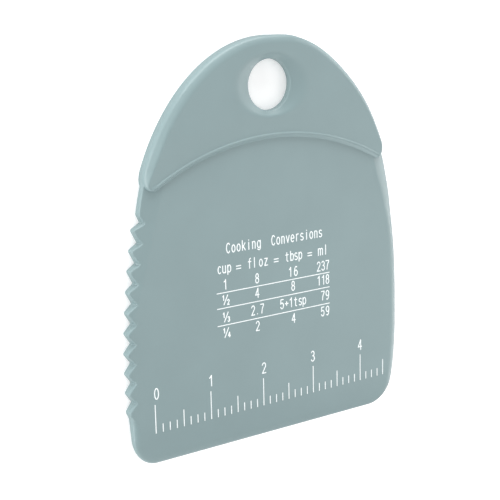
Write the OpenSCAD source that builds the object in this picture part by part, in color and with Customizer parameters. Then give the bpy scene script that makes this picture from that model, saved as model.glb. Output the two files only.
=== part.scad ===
// Dough scraper, one moulded plastic piece, millimetres.
// It lies flat on its back: +X is right across the printed face, +Y is up the
// tool towards the hang hole, +Z is through the thickness out of the printed
// face. The origin is the middle of the footprint, on the plane the crown
// rests on.

/* [Overall] */
// length from the scraping edge to the top of the crown
overall_length = 162; // [140:0.5:190]

/* [Blade] */
// thickness of the flat blade
blade_thickness = 3.8; // [2.5:0.1:6]
// half width of the blade on the smooth right side, at its widest
half_width = 65.1; // [50:0.1:80]
// height of the widest line above the scraping edge
widest_height = 41; // [30:1:55]
// how far the side has come in 64 mm above the widest line
shoulder_drop = 6.2; // [3:0.1:10]
// how much farther out the toothed side's shoulder is than the smooth side's
left_extra = -0.1; // [-1:0.1:1]
// how far the side has come in at the bottom corner
foot_drop = 2; // [0:0.1:4]
// radius of the bottom right corner
right_corner = 12.5; // [6:0.5:16]
// radius of the bottom left corner
left_corner = 9.9; // [6:0.1:16]
// thickness left at the scraping edge
edge_thickness = 1.0; // [0.6:0.1:2]
// height over which the blade thins to the scraping edge
taper_height = 16; // [6:0.5:20]
// slope of the flat that thins each upper side of the printed face, rise over run
side_slope = 0.1; // [0.02:0.01:0.2]

/* [Toothed side] */
// number of notches
notch_count = 10; // [4:1:11]
// distance from notch to notch along the edge
notch_pitch = 7.76; // [6:0.02:8]
// depth of the lower notches
notch_depth = 2.45; // [1.5:0.05:4]
// how much deeper the topmost notch is
notch_extra = 0.5; // [0:0.05:1]
// reach of the last notch's lower flank along the edge
last_flank = 3.33; // [2:0.01:4]
// farthest reach of the tooth tips to the left of the middle line
tooth_reach = 68; // [60:0.1:75]
// radius of the long arc the tooth tips lie on
tooth_arc = 368; // [250:1:600]
// height of the first, topmost notch above the scraping edge
first_notch = 95.7; // [85:0.1:97]

/* [Crown] */
// thickness of the crown
crown_thickness = 6.4; // [5:0.1:10]
// half width of the oval the crown follows
crown_half_width = 64.35; // [50:0.05:75]
// half height of that oval
crown_half_height = 88.1; // [70:0.1:100]
// height the top stands above the oval, right of the hole
crown_shoulder = 0.75; // [0:0.05:1]
// radius of the arc under the crown
lip_arc = 107; // [80:1:140]
// height of the middle of that arc above the scraping edge
lip_height = 121.9; // [115:0.1:130]
// radius of the rounded lower ends of the crown
end_radius = 3.8; // [3.5:0.1:5]
// width of the bevel round the crown's printed face
face_bevel = 3.0; // [1:0.1:3.4]
// width of that bevel on the right side
right_bevel = 0.9; // [0.4:0.1:3]
// slope of that bevel, rise over run
face_slope = 0.72; // [0.1:0.02:0.8]
// bevel round the crown's back
back_bevel = 0.6; // [0.4:0.1:1.5]
// width of the slope from the crown's face down to the blade
lip_slope = 1.8; // [1:0.02:4]

/* [Hang hole] */
// diameter of the hang hole
hole_diameter = 19.9; // [12:0.1:24]
// height of the hole above the scraping edge
hole_height = 143; // [138:0.5:146]
// thickness of the web the hole goes through
web_thickness = 2.8; // [2:0.1:4]
// width of the dish round the hole
dish_width = 34; // [26:0.5:44]
// height of the dish round the hole
dish_height = 24.6; // [22.5:0.2:28]
// width of the level floor of the dish
dish_floor = 21; // [20:0.5:25]

/* [Hidden] */

mid_z = crown_thickness / 2;
blade_z = mid_z - blade_thickness / 2;
shift_x = (tooth_reach - half_width) / 2;
shift_y = -overall_length / 2;
crown_y = overall_length - crown_half_height;
lip_x = 1.7;
lip_y = lip_height - lip_arc;
oval_x = 0.15;
// middles of the crown's left and right ends: they touch the arc under the crown
end_xs = [-54, 53.1];
function end_y(x) = lip_y + sqrt(pow(lip_arc + end_radius, 2) - pow(x - lip_x, 2));
foot_y = widest_height - 4;
tooth_x = tooth_arc - tooth_reach;
tooth_y = 27.9;
first_angle = asin((first_notch - tooth_y) / (tooth_arc - notch_depth - notch_extra));
pitch_angle = notch_pitch / tooth_arc * 180 / PI;
last_flank_angle = last_flank / tooth_arc * 180 / PI;
web_z = mid_z - web_thickness / 2;
eps = 0.01;

// half width of the smooth side at height h
function side(h) = h > widest_height
    ? half_width - shoulder_drop * pow((h - widest_height) / 64, 2.4)
    : h < foot_y ? half_width - foot_drop * pow((foot_y - h) / 25.6, 2)
    : half_width;

// point on the circle of radius r round c at angle a
function on(c, r, a) = [c[0] + r * cos(a), c[1] + r * sin(a)];

// point of the toothed edge, r from the middle of its long arc
function tooth(r, a) = [tooth_x - r * cos(a), tooth_y + r * sin(a)];

right_side = concat(
    [for (a = [-90:9:-9]) on([side(10.5) - 0.988 * right_corner, right_corner], right_corner, a)],
    [for (h = [13:4:113]) [side(h), h]],
    [[44, 127]]);

left_side = concat(
    [[-44, 127]],
    [for (h = [113:-4:101]) [-side(h) - left_extra, h]],
    [[-side(first_notch + 3.2) - left_extra, first_notch + 3.2]],
    // each notch, then the narrow flat tip of the tooth below it: the upper
    // tips stand a little nearer to the notch above them
    [for (i = [0:notch_count - 1]) let (
            a = first_angle - i * pitch_angle,
            tip = a - (0.5 - 0.1 * (1 - min(1, max(0, (i - 2) / 4)))) * pitch_angle,
            r = min(tooth_arc + 0.33, (tooth_arc - 0.04) / cos(tip)))
        each concat(
            [tooth(tooth_arc - notch_depth - notch_extra * (1 - min(1, i / 4)), a)],
            i < notch_count - 1
                ? [tooth(r, tip + 0.045 * pitch_angle), tooth(r, tip - 0.045 * pitch_angle)]
                : [tooth(tooth_arc, a - last_flank_angle)])],
    [[-tooth_reach + 0.05, tooth_y - 5.2], [-tooth_reach + 0.9, tooth_y - 7.6], [-tooth_reach + 0.9, 16.3], [-tooth_reach + 1.4, 13.3]],
    [for (a = [174:12:270]) on([-tooth_reach + 1.8 + left_corner, left_corner], left_corner, a)]);

function smooth(t) = let (u = min(1, max(0, t))) u * u * (3 - 2 * u);

// how far the top stands above the oval, right of the hole
function shoulder(x) = crown_shoulder * smooth((x - 2) / 10) * (1 - smooth((x - 16) / 20));

// outline of the crown ends and sides, brought in by d on the left and by r on the right
function crown_outline(d, r) = concat(
    [for (a = [-115:13:15]) on([end_xs[1], end_y(end_xs[1])], end_radius - r, a)],
    [for (a = [29:3:151]) let (e = r + (d - r) * (1 - cos(a)) / 2)
        [oval_x + (crown_half_width - e) * cos(a),
            crown_y + (crown_half_height - e) * sin(a) + shoulder((crown_half_width - e) * cos(a))]],
    [for (a = [165:13:295]) on([end_xs[0], end_y(end_xs[0])], end_radius - d, a)]);

// height of the bevel on the crown's face, d in from the edge
function bevel_z(d) = crown_thickness - face_slope * (face_bevel - d);

// strip that thins the upper side s (1 right, -1 left) on the printed face
module side_strip(s) {
    translate([s * 50, 107.2, mid_z])
        rotate([0, 0, s * 16.8])
            rotate([90, 0, 0])
                linear_extrude(height = 400, center = true)
                    polygon([
                        [-s * 200, -blade_thickness / 2],
                        [s * 17, -blade_thickness / 2],
                        [s * 17, blade_thickness / 2 - 17 * side_slope],
                        [0, blade_thickness / 2], [-s * 200, blade_thickness / 2]]);
}

// half thickness of the blade a share u of the way up the taper
function taper(u) = blade_thickness / 2 - (blade_thickness - edge_thickness) / 2 * pow(1 - u, 1.5);

module blade() {
    intersection() {
        translate([0, 0, blade_z])
            linear_extrude(height = blade_thickness)
                polygon(concat(right_side, left_side));
        rotate([90, 0, 90])
            linear_extrude(height = 400, center = true)
                polygon(concat(
                    [for (k = [0:6]) [taper_height * k / 6 - eps, mid_z - taper(k / 6)]],
                    [[overall_length, blade_z], [overall_length, blade_z + blade_thickness]],
                    [for (k = [6:-1:0]) [taper_height * k / 6 - eps, mid_z + taper(k / 6)]]));
        side_strip(1);
        side_strip(-1);
    }
}

// height a share u of the way from the crown's face down to the blade's
function face_step(u) = crown_thickness - u * (crown_thickness - blade_thickness) / 2;

module crown() {
    difference() {
        hull() {
            linear_extrude(height = bevel_z(back_bevel))
                polygon(crown_outline(back_bevel, back_bevel));
            linear_extrude(height = crown_thickness)
                polygon(crown_outline(face_bevel, right_bevel));
            translate([0, 0, back_bevel])
                linear_extrude(height = bevel_z(-1.2) - back_bevel)
                    polygon(crown_outline(0, 0));
            translate([0, 0, back_bevel])
                linear_extrude(height = bevel_z(face_bevel - right_bevel) - 0.5 - back_bevel)
                    polygon(crown_outline(face_bevel - right_bevel, 0));
        }
        translate([lip_x, lip_y, 0])
            rotate_extrude($fn = 180)
                polygon([
                    [0, -1], [lip_arc + back_bevel + 1, -1],
                    [lip_arc, back_bevel], [lip_arc, mid_z + blade_thickness / 2],
                    [lip_arc + 0.21 * lip_slope, face_step(0.87)],
                    [lip_arc + 0.63 * lip_slope, face_step(0.23)],
                    [lip_arc + 0.8 * lip_slope, face_step(0.055)],
                    [lip_arc + lip_slope, crown_thickness],
                    [lip_arc + lip_slope, crown_thickness + 1], [0, crown_thickness + 1]]);
    }
}

// dish on one face, floor at z = 0, cutting upwards
module dish() {
    d = crown_thickness / 2 - web_thickness / 2;
    intersection() {
        linear_extrude(height = d + 1)
            polygon([for (a = [0:6:354]) [dish_width / 2 * cos(a), dish_height / 2 * sin(a)]]);
        rotate([90, 0, 0])
            linear_extrude(height = 60, center = true)
                polygon([
                    [-dish_floor / 2, 0], [dish_floor / 2, 0],
                    [dish_width / 2, d], [dish_width / 2, d + 2],
                    [-dish_width / 2, d + 2], [-dish_width / 2, d]]);
    }
}

module scraper() {
    color([0.59, 0.67, 0.68])
        translate([shift_x, shift_y, 0])
            difference() {
                union() {
                    blade();
                    crown();
                }
                translate([0, hole_height, 0]) {
                    translate([0, 0, mid_z + web_thickness / 2]) dish();
                    translate([0, 0, web_z]) rotate([0, 180, 0]) dish();
                    translate([0, 0, -1]) cylinder(d = hole_diameter, h = crown_thickness + 2, $fn = 96);
                }
            }
}

scraper();
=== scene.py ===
import math

import bpy
import numpy as np
from mathutils import Matrix, Vector
from mathutils.geometry import delaunay_2d_cdt


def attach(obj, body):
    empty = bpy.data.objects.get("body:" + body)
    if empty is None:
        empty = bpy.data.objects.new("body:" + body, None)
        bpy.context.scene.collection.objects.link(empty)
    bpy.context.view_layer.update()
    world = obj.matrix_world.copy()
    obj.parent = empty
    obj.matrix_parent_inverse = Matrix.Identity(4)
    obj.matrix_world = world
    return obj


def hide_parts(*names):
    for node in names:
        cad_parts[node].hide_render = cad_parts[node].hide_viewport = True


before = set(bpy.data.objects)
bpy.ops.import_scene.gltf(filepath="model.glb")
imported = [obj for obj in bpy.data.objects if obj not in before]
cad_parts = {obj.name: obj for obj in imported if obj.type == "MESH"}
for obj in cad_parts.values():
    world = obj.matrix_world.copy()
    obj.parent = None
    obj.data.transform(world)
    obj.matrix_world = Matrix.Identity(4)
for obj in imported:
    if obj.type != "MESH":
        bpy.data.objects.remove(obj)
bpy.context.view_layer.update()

# ---------------------------------------------------------------- sizes
# Millimetres. x is from the tool's middle line, h is the height above the
# scraping edge and z the height above the plane the crown rests on, as in the
# CAD source. Row frame: x + SHIFT_X, h + SHIFT_Y, z, times 0.001.
SHIFT_X, SHIFT_Y = 1.45, -81.0
MID = 3.2                                # middle of the thickness
LENGTH = 162.0
FLAT = 1.9                               # half thickness of the blade
EDGE, TAPER = 0.5, 16.0                  # half thickness at the edge, height of the taper
LEAN, SLOPE = math.radians(16.8), 0.1    # upper side flats, on the printed face only
TOOTH_C, TOOTH_R, PITCH = (300.0, 27.9), 368.0, 7.76
NOTCH, HALF_NOTCH, FIRST = 2.45, 3.0 * math.tan(math.radians(48)), 95.6
CROWN_X, CROWN_A, CROWN_B, CROWN_H = 0.15, 64.35, 88.1, 73.9
LIP_X, LIP_H, LIP_R = 1.7, 14.9, 107.0
CROWN_T = 3.2
RIM, LIP_RIM, BEVEL = 3.0, 0.9, 0.72     # bevel of the crown's face: width, width over the blade, slope
EDGE_RIM, BACK_RIM = 0.8, 0.6            # radius of the crown's edges: face, back
WIDE = 0.6                               # how much further out the right side stands
HOLE_R, HOLE_H = 9.95, 143.0
DISH_A, DISH_B, WEB = 17.0, 12.3, 1.4
SEAM = 0.03                              # height of the mould's parting line


def side(h):
    if h > 41:
        return 64.5 - 6.2 * ((h - 41) / 64) ** 2.4
    return 64.5 - 2 * ((37 - h) / 25.6) ** 2 if h < 37 else 64.5


def arc(c, r, a0, a1, step):
    n = max(2, int(abs(a1 - a0) / step) + 1)
    return [(c[0] + r * math.cos(math.radians(a)), c[1] + r * math.sin(math.radians(a))) for a in np.linspace(a0, a1, n)]


def tooth(r, a):
    return (TOOTH_C[0] - r * math.cos(a), TOOTH_C[1] + r * math.sin(a))


def round_corners(points):
    """Closed outline with a radius at each corner: points are (x, y, radius)."""
    out = []
    n = len(points)
    for i, (x, y, r) in enumerate(points):
        p = np.array((x, y))
        if r <= 0:
            out.append(p)
            continue
        a, b = np.array(points[i - 1][:2]) - p, np.array(points[(i + 1) % n][:2]) - p
        la, lb = np.hypot(*a), np.hypot(*b)
        a, b = a / la, b / lb
        half = math.acos(max(-1, min(1, float(a @ b)))) / 2
        t = min(r / math.tan(half), 0.49 * la, 0.49 * lb)
        r = t * math.tan(half)
        mid = a + b
        c = p + mid / np.hypot(*mid) * (r / math.sin(half))
        v0, v1 = p + a * t - c, p + b * t - c
        a0 = math.atan2(v0[1], v0[0])
        turn = (math.atan2(v1[1], v1[0]) - a0 + math.pi) % (2 * math.pi) - math.pi
        k = max(3, int(math.degrees(abs(turn)) / 11) + 1)
        for u in np.linspace(0, 1, k):
            out.append(c + r * np.array((math.cos(a0 + u * turn), math.sin(a0 + u * turn))))
    return np.array(out)


def subdivide(points, step, closed=True):
    out = []
    n = len(points)
    for i in range(n if closed else n - 1):
        p, q = points[i], points[(i + 1) % n]
        k = max(1, int(math.ceil(math.hypot(*(q - p)) / step(p) - 1e-6)))
        out += [p + (q - p) * j / k for j in range(k)]
    if not closed:
        out.append(points[-1])
    return np.array(out)


def merged(points, least=0.03):
    out = [points[0]]
    for p in points[1:]:
        if math.hypot(*(p - out[-1])) > least:
            out.append(p)
    if math.hypot(*(out[0] - out[-1])) <= least:
        out.pop()
    return np.array(out)


# blade outline, anticlockwise from the foot of the right corner
foot = 64.5 - 2 * ((37 - 10.5) / 25.6) ** 2
raw = [(x + WIDE, y, 0) for x, y in arc((foot - 0.988 * 12.5, 12.5), 12.5, -90, -9, 2.2)]
for h in np.arange(13, 113.1, 1.0):
    # a little fuller just below the crown
    t, u = min(1, max(0, (h - 84) / 11)), min(1, max(0, (h - 107.5) / 5))
    raw.append((side(h) + WIDE + 0.36 * t * t * (3 - 2 * t) * (1 - u * u * (3 - 2 * u)), h, 0))
raw += [(44, 127, 0), (-44, 127, 0)]
raw += [(-side(h) - 0.5, h, 0) for h in np.arange(113, 100.9, -1.0)]
raw.append((-side(98.9) - 0.5, 98.9, 1.8))
first = math.asin((FIRST - TOOTH_C[1]) / (TOOTH_R - 3.6))
for i in range(10):
    a = first - i * PITCH / TOOTH_R
    # the tips of the upper teeth stand nearer to the notch above them
    early = 0.1 * (1 - min(1, max(0, (i - 2) / 4)))
    # and the upper notches are a little deeper
    raw.append((*tooth(TOOTH_R - NOTCH - 0.5 * (1 - min(1, i / 4)), a), 0.35))
    if i < 9:
        tip_a = a - (0.5 - early) * PITCH / TOOTH_R
        tip_r = min(TOOTH_R + 0.33, 367.96 / math.cos(tip_a))
        raw.append((*tooth(tip_r, tip_a + 0.045 * PITCH / TOOTH_R), 0.8))
        raw.append((*tooth(tip_r, tip_a - 0.045 * PITCH / TOOTH_R), 0.8))
    else:
        raw.append((*tooth(TOOTH_R, a - HALF_NOTCH / TOOTH_R), 1.35))
raw += [(-67.95, 22.7, 1.4), (-66.9, 20.2, 1.2), (-66.65, 16.5, 6.0)]
raw += [(-56.0 + 10.4 * math.cos(math.radians(a)), 11.6 * (1 + math.sin(math.radians(a))), 0) for a in np.linspace(176, 270, 36)]


def blade_step(p):
    return 0.3 if p[0] < -60 and 19 < p[1] < 101 else 0.6


BLADE = subdivide(merged(round_corners(raw)), blade_step)


def shoulder(x):
    """How far the top stands above the oval, right of the hole."""
    t, u = min(1, max(0, (x - 2) / 10)), min(1, max(0, (x - 20) / 20))
    return 0.75 * t * t * (3 - 2 * t) * (1 - u * u * (3 - 2 * u))


def oval(s, q, pull):
    """Point of the oval on side s at angle q, drawn in by pull toward its lower end."""
    h = CROWN_H + CROWN_B * math.sin(q)
    t = min(1, max(0, (h - 118) / 18))
    x = CROWN_X + s * (CROWN_A * math.cos(q) - pull * (1 - t * t * (3 - 2 * t)))
    return x, h + shoulder(x)


def crown_end(s, tip_x, tip, heading, reach_a, reach_b, pull):
    """One lower end of the crown: from the oval round to the corner it makes with the arc under the crown."""
    q0 = math.asin((116.3 - CROWN_H) / CROWN_B)
    p0 = np.array(oval(s, q0, pull))
    t0 = np.array((s * CROWN_A * math.sin(q0), -CROWN_B * math.cos(q0)))
    t0 /= np.hypot(*t0)
    k = np.array((tip_x, LIP_H + math.sqrt(LIP_R ** 2 - (tip_x - LIP_X) ** 2)))
    t1 = np.array((-s * math.cos(heading), math.sin(heading)))
    c0, c1 = p0 + t0 * reach_a, k - t1 * reach_b
    out = [(tip_x, k[1], tip)]
    for u in np.linspace(0, 1, 22)[1:]:
        v = 1 - u
        x, y = v ** 3 * k + 3 * v * v * u * c1 + 3 * v * u * u * c0 + u ** 3 * p0
        out.append((x, y, 0))
    out += [(*oval(s, q, pull), 0) for q in np.arange(q0 + 0.008, math.pi / 2 - 0.004, 0.0087)]
    return out


right = crown_end(1, 53.6, 1.0, -0.35, 3.6, 3.2, 0.45)
left = crown_end(-1, -52.3, 1.7, 0.11, 5.6, 5.9, 0.0)
lip0 = math.degrees(math.atan2(left[0][1] - LIP_H, left[0][0] - LIP_X))
lip1 = math.degrees(math.atan2(right[0][1] - LIP_H, right[0][0] - LIP_X))
lip = [(x, y, 0) for x, y in arc((LIP_X, LIP_H), LIP_R, lip0, lip1, 1.0)[1:-1]]
CROWN = subdivide(merged(round_corners(right + left[::-1] + lip)), lambda p: 0.6)


def signed(points, loop, chunk=1500):
    """Distance to a closed outline, positive inside."""
    a = loop
    d = np.roll(loop, -1, 0) - a
    dd = (d ** 2).sum(1)
    out = np.empty(len(points))
    for s in range(0, len(points), chunk):
        p = points[s:s + chunk]
        w = p[:, None, :] - a[None]
        t = np.clip((w * d[None]).sum(2) / dd, 0, 1)
        dist = np.sqrt(((w - t[..., None] * d[None]) ** 2).sum(2)).min(1)
        y = p[:, 1][:, None]
        up = (a[:, 1][None] <= y) != ((a + d)[:, 1][None] <= y)
        with np.errstate(divide="ignore", invalid="ignore"):
            cross = a[:, 0] + (y - a[:, 1]) * d[:, 0] / d[:, 1]
        inside = (up & (p[:, 0][:, None] < cross)).sum(1) % 2 == 1
        out[s:s + chunk] = np.where(inside, dist, -dist)
    return out


def smin(a, b, k):
    """Smaller of two heights, with the crease rounded off over k."""
    h = np.clip(0.5 + 0.5 * (b - a) / k, 0, 1)
    return b + (a - b) * h - k * h * (1 - h)


def fillet(d, r):
    u = np.clip(r - d, 0, r)
    return r - np.sqrt(np.maximum(r * r - u * u, 0))


def step_between(x, a, b):
    t = np.clip((x - a) / (b - a), 0, 1)
    return t * t * (3 - 2 * t)


def strip(p, s):
    return s * (p[:, 0] - s * 50) * math.cos(LEAN) + (p[:, 1] - 107.2) * math.sin(LEAN)


def blade_rim(p, back=False):
    """Width and depth wanted of the blade's rounded rim: tight on the toothed side, broad elsewhere."""
    left = 1 - step_between(p[:, 0], -54, -44)
    high = step_between(p[:, 1], 18, 22)
    tight = left * high
    if back:
        return 0.6 - 0.2 * tight, 0.6 - 0.2 * tight
    broad = (1 - left) * step_between(p[:, 1], 6, 18)
    upper = (1 - left) * step_between(p[:, 1], 78, 102)
    return 2.8 + 1.4 * broad + 1.4 * upper - 2.25 * tight, 1.55 - 0.2 * broad + 0.35 * upper - 1.0 * tight


def edge_drop(d, w, b):
    """Drop of an oval rounding w wide and b deep, d in from the outline."""
    u = np.clip(1 - d / w, 0, 1)
    return b * (1 - np.sqrt(np.maximum(1 - u * u, 0)))


def blade_plain(p, back=False):
    u = np.clip(1 - p[:, 1] / TAPER, 0, 1)
    t = FLAT - (FLAT - EDGE) * u ** 1.5
    if not back:
        # the right side stands up a little before it falls away, most near the crown
        u = strip(p, 1)
        bead = 0.14 * step_between(p[:, 1], 84, 106)
        t = t + bead * step_between(u, 0.2, 2.6)
        fall = SLOPE + 0.06 * step_between(p[:, 1], 84, 106)
        t = smin(t, FLAT + bead - fall * (u - 2.2), 0.06)
        t = smin(t, FLAT - SLOPE * strip(p, -1), 0.06)
    return t


def blade_half(p, d, back=False):
    t = blade_plain(p, back)
    w, b = blade_rim(p, back)
    b = np.minimum(b, 0.85 * t)
    return t - edge_drop(np.maximum(d, 0), w, b)


# Small sunk marks of the moulding: (x, h, radius, depth).
SPOTS = [(19.2, 139.9, 0.35, 0.07), (0.7, 125.9, 0.45, 0.04), (-48.0, 101.4, 0.35, 0.06)]


def above_lip(p):
    return np.hypot(p[:, 0] - LIP_X, p[:, 1] - LIP_H) - LIP_R


def crown_rim(p):
    """Width of the crown's bevel on the face: it narrows over the blade and runs out to the right."""
    broad = step_between(above_lip(p), 1.5, 8.0) * (1 - np.clip((p[:, 0] - CROWN_X) / CROWN_A, -1, 1)) / 2
    return LIP_RIM + (RIM - LIP_RIM) * broad


LIP_TOP, LIP_FOOT, LIP_TILT = 0.9, 0.5, math.radians(48)
LIP_W = (LIP_TOP + LIP_FOOT) * math.sin(LIP_TILT) + (CROWN_T - FLAT - (LIP_TOP + LIP_FOOT) * (1 - math.cos(LIP_TILT))) / math.tan(LIP_TILT)


def lip_drop(d):
    """Drop of the crown toward the blade, d in from its foot: a round shoulder, a slope and a hollow foot."""
    e = np.clip(LIP_W - d, 0, LIP_W)
    turn = LIP_TOP * math.sin(LIP_TILT)
    top = LIP_TOP - np.sqrt(np.maximum(LIP_TOP ** 2 - np.minimum(e, turn) ** 2, 0)) + np.maximum(e - turn, 0) * math.tan(LIP_TILT)
    foot = CROWN_T - FLAT - (LIP_FOOT - np.sqrt(np.maximum(LIP_FOOT ** 2 - np.clip(d, 0, LIP_FOOT) ** 2, 0)))
    return np.where(d < LIP_FOOT * math.sin(LIP_TILT), foot, top)


def crown_half(p, d, back=False):
    d = np.maximum(d, 0)
    if back:
        t = CROWN_T - edge_drop(d, BACK_RIM, BACK_RIM)
    else:
        # the face is hollowed a little above the blade, so that the lip stands up as a fine ridge
        u = above_lip(p) - LIP_W
        hollow = 0.38 - 0.12 * step_between(p[:, 0], 10, 45)
        top = CROWN_T - hollow * step_between(u, 0.0, 0.6) * (1 - step_between(u, 0.8, 10.0))
        soft = 0.3 + 0.9 * step_between(p[:, 1], 112, 152)
        t = smin(top, CROWN_T - BEVEL * (crown_rim(p) - d), soft) - edge_drop(d, EDGE_RIM, EDGE_RIM)
        t = smin(t, CROWN_T - lip_drop(np.maximum(above_lip(p), 0)), 0.15)
    rho = np.hypot(p[:, 0], p[:, 1] - HOLE_H)
    th = np.arctan2(p[:, 1] - HOLE_H, p[:, 0])
    edge = 1 / np.sqrt((np.cos(th) / DISH_A) ** 2 + (np.sin(th) / DISH_B) ** 2)
    s = (rho - HOLE_R) / (edge - HOLE_R)
    dish = WEB + (CROWN_T - WEB) * s
    t = np.where(s < 1.6, smin(t, dish, 0.5), t)
    return t - fillet(np.maximum(rho - HOLE_R, 0), 0.35)


def half_height(p, db, dc, back=False):
    blade = blade_half(p, db, back)
    crown = np.maximum(crown_half(p, dc, back), np.where(db > 0, blade, 0))
    t = np.where(dc > -1e-3, crown, blade)
    if not back:
        for x, h, r, up in SPOTS:
            t = t - up * np.exp(-((p[:, 0] - x) ** 2 + (p[:, 1] - h) ** 2) / (0.5 * r * r))
    return t


# ---------------------------------------------------------------- plan of the mesh
def crossing(loop, other):
    """Where a closed outline crosses another: (index of the segment, point)."""
    s = signed(loop, other)
    out = []
    for i in range(len(loop)):
        j = (i + 1) % len(loop)
        if (s[i] > 0) != (s[j] > 0):
            p, q = loop[i], loop[j]
            for _ in range(40):
                m = (p + q) / 2
                if (signed(m[None], other)[0] > 0) == (s[i] > 0):
                    p = m
                else:
                    q = m
            out.append((i, (p + q) / 2, s[j] > 0))
    return out


GAP = 0.03                               # how far the foot of the crown's wall stands off
db_c, dc_b = signed(CROWN, BLADE), signed(BLADE, CROWN)
cuts = sorted((c[1][0], c) for c in crossing(CROWN, BLADE))
(_, left_cut), (_, right_cut) = cuts[0], cuts[-1]


def run(loop, keep, start):
    """The stretch of a closed outline whose points are kept, beginning at the one nearest to start."""
    idx = np.flatnonzero(keep)
    breaks = [i for i in idx if not keep[i - 1]]
    begin = min(breaks, key=lambda i: np.hypot(*(loop[i] - start)))
    out, i = [], begin
    while keep[i % len(loop)]:
        out.append(loop[i % len(loop)])
        i += 1
        if i - begin > len(loop):
            break
    return np.array(out)


outer_crown = run(CROWN, db_c < -0.15, right_cut[1])
inner_crown = run(CROWN, db_c > 0.15, left_cut[1])
normals_c = np.roll(CROWN, -1, 0) - np.roll(CROWN, 1, 0)
normals_c = np.stack([-normals_c[:, 1], normals_c[:, 0]], 1) / np.hypot(*normals_c.T)[:, None]
foot_ring = run(CROWN - normals_c * GAP, db_c > 0.15, left_cut[1])
blade_cuts = [c[1] for c in crossing(BLADE, CROWN)]
blade_right = min(blade_cuts, key=lambda p: np.hypot(*(p - right_cut[1])))
blade_left = min(blade_cuts, key=lambda p: np.hypot(*(p - left_cut[1])))
outer_blade = run(BLADE, dc_b < -0.12, left_cut[1])


def off_crown(p):
    """The point on the blade's outline that stands GAP outside the crown, next to a crossing."""
    best = min(range(len(outer_blade)), key=lambda i: np.hypot(*(outer_blade[i] - p)))
    v = outer_blade[best] - p
    return p + v / np.hypot(*v) * GAP


lines = []                               # (points, closed)
outline = np.vstack([outer_blade, [off_crown(blade_right)], [right_cut[1]], outer_crown, [left_cut[1]], [off_crown(blade_left)]])
lines.append((outline, True))
lines.append((np.vstack([[left_cut[1]], inner_crown, [right_cut[1]]]), False))
lines.append((np.vstack([[off_crown(blade_left)], foot_ring, [off_crown(blade_right)]]), False))
hole = np.array([(HOLE_R * math.cos(a), HOLE_H + HOLE_R * math.sin(a)) for a in np.linspace(0, 2 * math.pi, 120, endpoint=False)])
lines.append((hole, True))


def notch_lean(p):
    """How far the printed face's rim is drawn in at the notches: their walls lean on that side."""
    r = np.hypot(TOOTH_C[0] - p[:, 0], p[:, 1] - TOOTH_C[1])
    a = np.arctan2(p[:, 1] - TOOTH_C[1], TOOTH_C[0] - p[:, 0])
    k = (first - a) * TOOTH_R / PITCH
    f = (k + 0.5) % 1 - 0.5 - 0.02
    g = 0.12 + 0.75 * np.exp(-f * f / (2 * 0.17 ** 2))
    g = g * step_between(k, -0.75, -0.35) * (1 - step_between(k, 9.3, 9.7))
    return g * (1 - step_between(TOOTH_R - r, 2.0, 11.0))


def inward(loop):
    t = np.roll(loop, -1, 0) - np.roll(loop, 1, 0)
    return np.stack([-t[:, 1], t[:, 0]], 1) / np.hypot(*t.T)[:, None]


def rings(loop, radius, shares, extra, keep):
    n = inward(loop)
    for share in list(shares) + list(extra):
        d = radius * share if share <= 1 else radius + (share - 1)
        p = loop + n * np.asarray(d).reshape(-1, 1)
        ok = (signed(p, loop) > d - 0.02) & keep(p)
        i = 0
        while i < len(p):
            if not ok[i]:
                i += 1
                continue
            j = i
            while j + 1 < len(p) and ok[j + 1]:
                j += 1
            piece = p[i:j + 1]
            if share > 1:
                piece = piece[::2]
            if len(piece) > 1:
                lines.append((piece, bool(ok.all())))
            i = j + 1


SHARES = [1 - math.cos(math.radians(a)) for a in (20, 36, 50, 64, 77, 90)]
width, _ = blade_rim(BLADE)
rings(BLADE, width, SHARES, (1.25, 1.9), lambda p: signed(p, CROWN) < -0.15)
rings(CROWN, np.where(above_lip(CROWN) < 0.3, LIP_W, 1.1 * crown_rim(CROWN)), SHARES + [0.115, 0.27, 0.46, 0.67, 0.88], (1.12, 1.25, 1.4, 1.6, 1.9, 2.4, 3.0), lambda p: np.hypot(p[:, 0] / (DISH_A + 0.8), (p[:, 1] - HOLE_H) / (DISH_B + 0.8)) > 1)


def dish_ring(s, n):
    th = np.linspace(0, 2 * math.pi, n, endpoint=False)
    edge = 1 / np.sqrt((np.cos(th) / DISH_A) ** 2 + (np.sin(th) / DISH_B) ** 2)
    rho = HOLE_R + s(edge)
    return np.stack([rho * np.cos(th), HOLE_H + rho * np.sin(th)], 1)


for d in (0.03, 0.1, 0.2, 0.35, 0.6):
    lines.append((dish_ring(lambda e: d, 120), True))
for share in (0.5, 0.66, 0.76, 0.84, 0.9, 0.96, 1.02, 1.08, 1.15, 1.24, 1.34):
    lines.append((dish_ring(lambda e: share * (e - HOLE_R), 120), True))


def inside_blade(p, margin):
    return (signed(p, BLADE) > margin) & (signed(p, CROWN) < -0.25)


# creases: the taper's border and the borders of the upper side flats
for h in (16.5, 15.2, 13.8, 12.2, 10.4, 8.6, 6.8, 5.0, 3.4):
    p = np.stack([np.arange(-64, 63.1, 1.2), np.full(106, h)], 1)
    ok = inside_blade(p, 3.0)
    lines.append((p[ok], False))
for off in (-1.0, -0.6, -0.3, 0.0, 0.3, 0.6, 1.0, 1.6, 2.2, 2.8, 3.4):
    for s in (1, -1):
        if off > 1 and s < 0:
            continue
        u = np.arange(-8, 62, 0.9)
        p = np.stack([s * (50 + u * math.sin(LEAN) + off * 0.8 * math.cos(LEAN)), 107.2 - u * math.cos(LEAN) + off * 0.8 * math.sin(LEAN)], 1)
        ok = inside_blade(p, 3.2 if s > 0 else 1.5)
        lines.append((p[ok], False))

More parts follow.
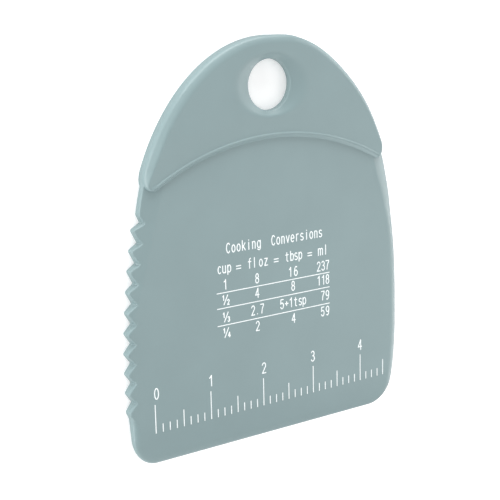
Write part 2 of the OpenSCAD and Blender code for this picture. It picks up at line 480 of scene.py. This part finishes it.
verts, edges = [], []
for points, closed in lines:
    base = len(verts)
    verts += [Vector((float(x), float(y))) for x, y in points]
    k = len(points)
    edges += [(base + i, base + (i + 1) % k) for i in range(k if closed else k - 1)]
fixed = np.array([(v.x, v.y) for v in verts])

gx, gh = np.meshgrid(np.arange(-66, 66.1, 2.4), np.arange(1.5, 161, 2.4))
gx = gx + 1.2 * (np.arange(gx.shape[0])[:, None] % 2)
grid = np.stack([gx.ravel(), gh.ravel()], 1)
for x, h, r, up in SPOTS:
    grid = np.vstack([grid, [(x, h)]] + [[(x + q * r * math.cos(a), h + q * r * math.sin(a)) for a in np.linspace(0, 2 * math.pi, 10, endpoint=False)] for q in (0.35, 0.7, 1.1, 1.6, 2.6)])
near = np.array([((fixed - p) ** 2).sum(1).min() for p in grid])
keep = (signed(grid, outline) > 0.5) & (np.hypot(grid[:, 0], grid[:, 1] - HOLE_H) > HOLE_R + 0.5)
spot = np.arange(len(grid)) >= gx.size
grid = grid[keep & ((near > 0.55 ** 2) | spot & (near > 0.05 ** 2))]
verts += [Vector((float(x), float(y))) for x, y in grid]

flat_v, _, flat_f, *_ = delaunay_2d_cdt(verts, edges, [], 0, 1e-4)
plan = np.array([(v.x, v.y) for v in flat_v])
tri = np.array([f for f in flat_f if len(f) == 3])
mid = plan[tri].mean(1)
tri = tri[(signed(mid, outline) > 0) & (np.hypot(mid[:, 0], mid[:, 1] - HOLE_H) > HOLE_R * math.cos(math.pi / 120))]
area = np.cross(plan[tri[:, 1]] - plan[tri[:, 0]], plan[tri[:, 2]] - plan[tri[:, 0]])
tri = tri[np.abs(area) > 1e-9]
area = np.cross(plan[tri[:, 1]] - plan[tri[:, 0]], plan[tri[:, 2]] - plan[tri[:, 0]])
tri[area < 0] = tri[area < 0][:, ::-1]
used = np.unique(tri)
remap = np.full(len(plan), -1)
remap[used] = np.arange(len(used))
plan, tri = plan[used], remap[tri]

d_blade, d_crown = signed(plan, BLADE), signed(plan, CROWN)
half, back = half_height(plan, d_blade, d_crown), half_height(plan, d_blade, d_crown, True)

# ---------------------------------------------------------------- the body's mesh
count = {}
for f in tri:
    for e in ((f[0], f[1]), (f[1], f[2]), (f[2], f[0])):
        count[tuple(sorted(e))] = count.get(tuple(sorted(e)), 0) + 1
border = [e for f in tri for e in ((f[0], f[1]), (f[1], f[2]), (f[2], f[0])) if count[tuple(sorted(e))] == 1]

n = len(plan)
rim = sorted({i for e in border for i in e})
out_dir = np.zeros((n, 2))
for i, j in border:
    d = plan[j] - plan[i]
    v = np.array((d[1], -d[0])) / max(np.hypot(*d), 1e-9)
    out_dir[i] += v
    out_dir[j] += v
out_dir /= np.maximum(np.hypot(*out_dir.T), 1e-9)[:, None]

# the seam stands on the wall, and the whole outline is drawn in by its height
flat_edge = np.zeros(n)
flat_edge[rim] = SEAM
base = plan - out_dir * flat_edge[:, None]
lean = notch_lean(plan)
toward = np.array(TOOTH_C) - plan
toward /= np.hypot(*toward.T)[:, None]
co = [np.column_stack([base + toward * lean[:, None], MID + half]), np.column_stack([base, MID - back])]
ring_at = {}
extra = []
for i in rim:
    up = 0.6 * min(0.25, half[i], back[i])
    for k, (share, push) in enumerate(((1, 0.0), (0, SEAM), (-1, 0.0))):
        ring_at[i, k] = 2 * n + len(extra)
        q = base[i] + out_dir[i] * push
        extra.append((q[0], q[1], MID + share * up))
co = np.vstack(co + [np.array(extra)])
faces = [tuple(f) for f in tri] + [(n + f[0], n + f[2], n + f[1]) for f in tri]
for i, j in border:
    chain_i = [i, ring_at[i, 0], ring_at[i, 1], ring_at[i, 2], n + i]
    chain_j = [j, ring_at[j, 0], ring_at[j, 1], ring_at[j, 2], n + j]
    for k in range(4):
        faces.append((chain_j[k], chain_i[k], chain_i[k + 1], chain_j[k + 1]))
faces = [tuple(int(v) for v in f) for f in faces]


def to_row(points):
    p = np.array(points, float)
    return (p + np.array((SHIFT_X, SHIFT_Y, 0.0))) * 0.001


def make(name, points, polys, smooth=True, sharp=34.0):
    mesh = bpy.data.meshes.new(name)
    mesh.from_pydata([tuple(p) for p in to_row(points)], [], polys)
    mesh.validate()
    mesh.polygons.foreach_set("use_smooth", [smooth] * len(mesh.polygons))
    if smooth:
        mesh.set_sharp_from_angle(angle=math.radians(sharp))
    mesh.update()
    o = bpy.data.objects.new(name, mesh)
    bpy.context.scene.collection.objects.link(o)
    return o


body = make("scraper_body", co, faces)


# ---------------------------------------------------------------- the print
# Strokes of a plain narrow lettering, in a cell one high to the digits' tops.
def ell(cx, cy, rx, ry, a0, a1, k=18):
    return [(cx + rx * math.cos(math.radians(a)), cy + ry * math.sin(math.radians(a))) for a in np.linspace(a0, a1, k)]


X = 0.74                                 # height of the small letters
W = 0.19                                 # half width of a letter
GLYPHS = {
    "0": [ell(0, 0.5, W + 0.01, 0.5, 0, 360, 30)],
    "1": [[(-0.13, 0.78), (-0.02, 0.86), (0.06, 1.0), (0.06, 0.0)]],
    "2": [ell(0, 0.74, W, 0.26, 165, -30, 16) + [(-W, 0.0), (W + 0.01, 0.0)]],
    "3": [ell(-0.01, 0.76, W - 0.02, 0.24, 150, -90, 16), ell(0, 0.27, W, 0.27, 90, -155, 18)],
    "4": [[(0.1, 0.0), (0.1, 1.0), (-W - 0.02, 0.3), (W + 0.03, 0.3)]],
    "5": [[(W - 0.03, 1.0), (-W + 0.04, 1.0), (-W + 0.01, 0.54)] + ell(-0.01, 0.32, W, 0.32, 128, -155, 20)],
    "6": [ell(0.0, 0.3, W, 0.3, 0, 360, 26), ell(0.02, 0.34, W + 0.02, 0.66, 180, 62, 14)],
    "7": [[(-W, 1.0), (W, 1.0)] + ell(0.32, 0.0, 0.36, 0.88, 115, 178, 8)],
    "8": [ell(0, 0.755, W - 0.03, 0.245, 0, 360, 26), ell(0, 0.27, W, 0.27, 0, 360, 26)],
    "9": [ell(0.0, 0.7, W, 0.3, 0, 360, 26), ell(-0.02, 0.66, W + 0.02, 0.66, 0, -118, 14)],
    ".": [[(0, 0.04), (0, 0.06)]],
    "+": [[(-0.19, 0.47), (0.19, 0.47)], [(0, 0.26), (0, 0.68)]],
    "=": [[(-0.26, 0.46), (0.26, 0.46)], [(-0.26, 0.18), (0.26, 0.18)]],
    "C": [ell(0, 0.5, W + 0.02, 0.5, 42, 318, 24)],
    "b": [[(-W, 0.0), (-W, 1.02)], ell(0, X / 2, W, X / 2, 0, 360, 24)],
    "c": [ell(0, X / 2, W, X / 2, 48, 312, 20)],
    "e": [ell(0, X / 2, W, X / 2, -50, -360, 22) + [(-W, X / 2)]],
    "f": [ell(0.1, 0.86, 0.12, 0.18, 80, 180, 8) + [(-0.02, 0.0)], [(-0.16, 0.7), (0.16, 0.7)]],
    "g": [ell(0, X / 2, W, X / 2, 0, 360, 24), [(W, X)] + ell(0, -0.02, W, 0.2, 0, -150, 10)],
    "i": [[(0, 0.0), (0, X)], [(0, 0.96), (0, 0.98)]],
    "k": [[(-W + 0.03, 0.0), (-W + 0.03, 1.02)], [(W - 0.02, X), (-W + 0.03, 0.28)], [(-0.06, 0.42), (W, 0.0)]],
    "l": [[(0, 0.0), (0, 1.04)]],
    "m": [[(-0.28, 0.0), (-0.28, X)], ell(-0.14, X - 0.14, 0.14, 0.14, 180, 0, 10) + [(0.0, 0.0)], ell(0.14, X - 0.14, 0.14, 0.14, 180, 0, 10) + [(0.28, 0.0)]],
    "n": [[(-W + 0.03, 0.0), (-W + 0.03, X)], ell(0, X - 0.2, W - 0.03, 0.2, 180, 0, 12) + [(W - 0.03, 0.0)]],
    "o": [ell(0, X / 2, W, X / 2, 0, 360, 24)],
    "p": [[(-W, -0.22), (-W, X)], ell(0, X / 2, W, X / 2, 0, 360, 24)],
    "r": [[(-0.1, 0.0), (-0.1, X)], ell(0.1, X - 0.22, 0.2, 0.22, 180, 75, 8)],
    "s": [ell(0, X * 0.75, W - 0.03, X * 0.25, 35, 250, 14) + ell(0, X * 0.25, W - 0.02, X * 0.25, 70, -145, 14)],
    "t": [[(0, 0.94)] + [(0, 0.14)] + ell(0.12, 0.13, 0.12, 0.13, 180, 280, 6), [(-0.15, 0.7), (0.17, 0.7)]],
    "u": [[(-W + 0.02, X)] + ell(0, 0.2, W - 0.02, 0.2, 180, 360, 12) + [(W - 0.02, X)], [(W - 0.02, 0.2), (W - 0.02, 0.0)]],
    "v": [[(-W, X), (0, 0.0), (W, X)]],
    "z": [[(-W + 0.02, X), (W - 0.02, X), (-W + 0.01, 0.0), (W, 0.0)]],
}


def scaled(glyph, x, y, size, wide=1.0):
    return [[(x + px * size * wide, y + py * size) for px, py in s] for s in GLYPHS[glyph]]


def share_of(top, bottom, x, y, size):
    """A small fraction: a digit over a slanting bar over a digit."""
    s = scaled(top, x - 0.3 * size, y + 0.5 * size, 0.5 * size, 1.0)
    s += scaled(bottom, x + 0.3 * size, y - 0.02 * size, 0.52 * size, 1.05)
    s.append([(x - 0.24 * size, y + 0.02 * size), (x + 0.24 * size, y + 1.0 * size)])
    return s


# Positions are along the scale from its zero, and above the marks' feet.
RULE_X, RULE_H, PITCH_X = -57.1, 12.9, 3.175
table = []
for i, ch in enumerate("Cooking"):
    table += scaled(ch, 35.5 + 2.42 * i, 66.3, 3.85)
for i, ch in enumerate("Conversions"):
    table += scaled(ch, 57.1 + 2.37 * i, 66.3, 3.85)
for ch, x in (("c", 31.2), ("u", 33.3), ("p", 35.7), ("f", 45.4), ("l", 47.7), ("o", 50.8), ("z", 53.3), ("t", 63.6), ("b", 66.2), ("s", 68.2), ("p", 70.4), ("m", 80.7), ("l", 83.4)):
    table += scaled(ch, x, 58.6, 3.8)
for x in (40.1, 58.3, 75.2):
    table += scaled("=", x, 58.6, 3.9)
for ch, x, y in (
        ("1", 33.6, 52.0), ("8", 48.8, 52.0), ("1", 65.2, 52.0), ("6", 68.0, 52.0), ("2", 79.7, 52.0), ("3", 82.0, 52.0), ("7", 84.2, 52.0),
        ("4", 48.7, 46.0), ("8", 66.5, 46.0), ("1", 79.7, 46.0), ("1", 82.0, 46.0), ("8", 84.2, 46.0),
        ("2", 46.5, 39.1), (".", 48.6, 39.1), ("7", 50.9, 39.1), ("5", 60.8, 39.2), ("+", 63.1, 39.2), ("1", 65.3, 39.2), ("t", 67.6, 39.2), ("s", 70.0, 39.2), ("p", 72.1, 39.2), ("7", 81.7, 39.2), ("9", 84.1, 39.2),
        ("2", 48.6, 32.3), ("4", 66.5, 32.3), ("5", 81.6, 32.4), ("9", 84.1, 32.4)):
    table += scaled(ch, x, y, 3.8)
for bottom, y in (("2", 45.7), ("3", 38.7), ("4", 32.3)):
    table += share_of("1", bottom, 33.7, y, 3.8)
for y in (50.66, 44.40, 37.40):
    table.append([(29.5, y), (85.3, y)])

scale = []
for k in range(37):
    top = 11.6 if k % 8 == 0 else 6.9 if k % 4 == 0 else 3.4
    scale.append([(k * PITCH_X, 0.0), (k * PITCH_X, top)])
digits = []
for ch, x in (("0", 0.85), ("1", 25.6), ("2", 51.2), ("3", 76.1), ("4", 101.5)):
    digits += scaled(ch, x, 13.8, 4.3)


def ink(name, strokes, width, cell, square=()):
    """A thin closed film of ink: the area within half a width of the strokes, cut out on a grid."""
    segs = [(s[i], s[i + 1]) for s in strokes for i in range(len(s) - 1)]
    field = {}
    r = width / 2
    for (x0, y0), (x1, y1) in segs:
        i0, i1 = int(math.floor((min(x0, x1) - r) / cell)) - 1, int(math.ceil((max(x0, x1) + r) / cell)) + 1
        j0, j1 = int(math.floor((min(y0, y1) - r) / cell)) - 1, int(math.ceil((max(y0, y1) + r) / cell)) + 1
        ii, jj = np.meshgrid(np.arange(i0, i1 + 1), np.arange(j0, j1 + 1), indexing="ij")
        px, py = ii * cell, jj * cell
        dx, dy = x1 - x0, y1 - y0
        t = np.clip(((px - x0) * dx + (py - y0) * dy) / max(dx * dx + dy * dy, 1e-12), 0, 1)
        d = np.hypot(px - x0 - t * dx, py - y0 - t * dy) - r
        for a, b, c in zip(ii.ravel().tolist(), jj.ravel().tolist(), d.ravel().tolist()):
            if c < field.get((a, b), 9.0):
                field[a, b] = c
    points, index, polys = [], {}, []

    def corner(a):
        if a not in index:
            index[a] = len(points)
            points.append((a[0] * cell, a[1] * cell))
        return index[a]

    def between(a, b):
        key = (min(a, b), max(a, b))
        if key not in index:
            u, v = field[key[0]], field[key[1]]
            t = min(0.94, max(0.06, u / (u - v)))
            index[key] = len(points)
            points.append(tuple((key[0][k] + (key[1][k] - key[0][k]) * t) * cell for k in (0, 1)))
        return index[key]

    for a, b in list(field):
        c = [(a, b), (a + 1, b), (a + 1, b + 1), (a, b + 1)]
        if any(q not in field for q in c):
            continue
        inside = [field[q] < 0 for q in c]
        if not any(inside):
            continue
        poly = []
        for k in range(4):
            if inside[k]:
                poly.append(corner(c[k]))
            if inside[k] != inside[(k + 1) % 4]:
                poly.append(between(c[k], c[(k + 1) % 4]))
        if len(poly) >= 3:
            polys.append(poly)
    return points, polys


def film(name, points, polys, low, high):
    n = len(points)
    p = np.array(points)
    p = np.column_stack([p[:, 0] + RULE_X, p[:, 1] + RULE_H])
    co = np.vstack([np.column_stack([p, np.full(n, high)]), np.column_stack([p, np.full(n, low)])])
    seen = {}
    for f in polys:
        for i in range(len(f)):
            e = (f[i], f[(i + 1) % len(f)])
            seen[tuple(sorted(e))] = seen.get(tuple(sorted(e)), 0) + 1
    out = [tuple(f) for f in polys] + [tuple(n + v for v in f[::-1]) for f in polys]
    for f in polys:
        for i in range(len(f)):
            a, b = f[i], f[(i + 1) % len(f)]
            if seen[tuple(sorted((a, b)))] == 1:
                out.append((b, a, n + a, n + b))
    return make(name, co, out, smooth=False)


def bars(strokes, width, points, polys):
    """Straight marks with square ends, added to a film's outline."""
    for (x0, y0), (x1, y1) in strokes:
        d = np.array((x1 - x0, y1 - y0))
        length = np.hypot(*d)
        d /= length
        nrm = np.array((-d[1], d[0])) * width / 2
        k = max(1, int(length / 1.2))
        base = len(points)
        for i in range(k + 1):
            q = np.array((x0, y0)) + d * length * i / k
            points.append(tuple(q - nrm))
            points.append(tuple(q + nrm))
        for i in range(k):
            b = base + 2 * i
            polys.append([b, b + 2, b + 3, b + 1])


TOP = MID + FLAT
letters = [s for s in table if not (len(s) == 2 and abs(s[1][0] - s[0][0]) > 20)]
rules = [s for s in table if len(s) == 2 and abs(s[1][0] - s[0][0]) > 20]
pts, pol = ink("table", letters, 0.43, 0.1)
bars(rules, 0.36, pts, pol)
print_table = film("print_table", pts, pol, TOP - 0.03, TOP + 0.03)
pts, pol = ink("scale", digits, 0.45, 0.1)
bars(scale, 0.38, pts, pol)
print_scale = film("print_scale", pts, pol, TOP - 0.03, TOP + 0.03)


# ---------------------------------------------------------------- materials
def nodes_of(name):
    m = bpy.data.materials.new(name)
    m.use_nodes = True
    t = m.node_tree
    t.nodes.clear()
    out = t.nodes.new("ShaderNodeOutputMaterial")
    shader = t.nodes.new("ShaderNodeBsdfPrincipled")
    t.links.new(shader.outputs["BSDF"], out.inputs["Surface"])
    place = t.nodes.new("ShaderNodeTexCoord")
    return m, t, shader, place


def noise(t, place, scale, detail=3.0, rough=0.5):
    k = t.nodes.new("ShaderNodeTexNoise")
    k.inputs["Scale"].default_value = scale
    k.inputs["Detail"].default_value = detail
    k.inputs["Roughness"].default_value = rough
    t.links.new(place.outputs["Object"], k.inputs["Vector"])
    return k


def ramp(t, source, a, b, low, high):
    k = t.nodes.new("ShaderNodeMapRange")
    k.inputs["From Min"].default_value, k.inputs["From Max"].default_value = a, b
    k.inputs["To Min"].default_value, k.inputs["To Max"].default_value = low, high
    t.links.new(source, k.inputs["Value"])
    return k.outputs["Result"]


def mixed(t, factor, a, b):
    k = t.nodes.new("ShaderNodeMix")
    k.data_type = "RGBA"
    k.inputs[6].default_value = (*a, 1)
    k.inputs[7].default_value = (*b, 1)
    t.links.new(factor, k.inputs[0])
    return k.outputs[2]


BASE = np.array((0.196, 0.270, 0.279))


def plastic():
    m, t, shader, place = nodes_of("satin_plastic")
    clouds = noise(t, place, 38.0, 4.0, 0.55)
    grain = noise(t, place, 900.0, 3.0, 0.6)
    colour = mixed(t, ramp(t, clouds.outputs["Fac"], 0.3, 0.7, 0, 1), tuple(BASE * 0.975), tuple(BASE * 1.03))
    t.links.new(colour, shader.inputs["Base Color"])
    t.links.new(ramp(t, grain.outputs["Fac"], 0.25, 0.75, 0.33, 0.42), shader.inputs["Roughness"])
    shader.inputs["IOR"].default_value = 1.5
    fine = noise(t, place, 2600.0, 2.0, 0.5)
    wave = noise(t, place, 60.0, 2.0, 0.4)
    bump = t.nodes.new("ShaderNodeBump")
    bump.inputs["Strength"].default_value = 0.12
    bump.inputs["Distance"].default_value = 0.00002
    t.links.new(fine.outputs["Fac"], bump.inputs["Height"])
    soft = t.nodes.new("ShaderNodeBump")
    soft.inputs["Strength"].default_value = 0.25
    soft.inputs["Distance"].default_value = 0.00006
    t.links.new(wave.outputs["Fac"], soft.inputs["Height"])
    t.links.new(bump.outputs["Normal"], soft.inputs["Normal"])
    t.links.new(soft.outputs["Normal"], shader.inputs["Normal"])
    return m


def white_ink():
    m, t, shader, place = nodes_of("white_ink")
    patch = noise(t, place, 700.0, 3.0, 0.6)
    colour = mixed(t, ramp(t, patch.outputs["Fac"], 0.35, 0.65, 0, 1), (0.76, 0.81, 0.82), (0.86, 0.90, 0.90))
    t.links.new(colour, shader.inputs["Base Color"])
    t.links.new(ramp(t, patch.outputs["Fac"], 0.3, 0.7, 0.4, 0.52), shader.inputs["Roughness"])
    shader.inputs["IOR"].default_value = 1.48
    return m


PLASTIC, INK = plastic(), white_ink()
body.data.materials.append(PLASTIC)
for o in (print_table, print_scale):
    o.data.materials.append(INK)
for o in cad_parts.values():
    o.data.materials.clear()
    o.data.materials.append(PLASTIC)

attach(body, "root")
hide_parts("scraper")
for o in (print_table, print_scale):
    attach(o, "root")

# ---------------------------------------------------------------- floor, light and camera
mesh = bpy.data.meshes.new("floor")
mesh.from_pydata([(-3, -3, 0), (3, -3, 0), (3, 3, 0), (-3, 3, 0)], [], [(0, 1, 2, 3)])
floor = bpy.data.objects.new("floor", mesh)
bpy.context.scene.collection.objects.link(floor)
m, t, shader, place = nodes_of("floor_pale")
shader.inputs["Base Color"].default_value = (0.9, 0.9, 0.9, 1)
shader.inputs["Roughness"].default_value = 0.9
shader.inputs["IOR"].default_value = 1.2
shader.inputs["Emission Color"].default_value = (1, 1, 1, 1)
shader.inputs["Emission Strength"].default_value = 0.32
mesh.materials.append(m)
floor.visible_glossy = False

world = bpy.data.worlds.new("studio")
bpy.context.scene.world = world
world.use_nodes = True
world.node_tree.nodes["Background"].inputs["Color"].default_value = (1, 1, 1, 1)
world.node_tree.nodes["Background"].inputs["Strength"].default_value = 0.59


def panel(name, where, aim, size, watts, colour=(1, 1, 1)):
    light = bpy.data.lights.new(name, "AREA")
    light.shape = "RECTANGLE"
    light.size, light.size_y = size
    light.energy = watts
    light.color = colour
    o = bpy.data.objects.new(name, light)
    o.location = where
    o.rotation_mode = "QUATERNION"
    o.rotation_quaternion = (Vector(aim) - Vector(where)).to_track_quat("-Z", "Y")
    bpy.context.scene.collection.objects.link(o)
    return o


panel("key", (0.43, -0.16, 0.60), (0, 0, 0), (0.42, 0.50), 0.75)
panel("left_low", (-0.9, 0.0, 0.22), (0, 0, 0), (1.2, 0.4), 7.9)
panel("left_mid", (-0.8, 0.0, 0.62), (0, 0, 0), (1.0, 0.4), 0.9)
panel("top_low", (0.0, 0.9, 0.22), (0, 0, 0), (1.2, 0.4), 9.3)
panel("right_low", (0.9, 0.0, 0.22), (0, 0, 0), (1.2, 0.4), 6.2)
panel("bottom_low", (0.0, -0.9, 0.22), (0, 0, 0), (1.2, 0.4), 3.9)

camera = bpy.data.objects.new("camera", bpy.data.cameras.new("camera"))
bpy.context.scene.collection.objects.link(camera)
camera.data.sensor_width = 36
camera.data.lens = 85.719
camera.data.clip_start, camera.data.clip_end = 0.02, 20
camera.matrix_world = Matrix((
    (0.825087, 0.143921, -0.546367, -0.266722),
    (-0.023512, 0.974922, 0.221302, 0.101842),
    (0.564516, -0.169747, 0.80778, 0.384747),
    (0.0, 0.0, 0.0, 1.0)))
bpy.context.scene.camera = camera
bpy.context.scene.view_settings.view_transform = "Standard"

bpy.context.view_layer.update()
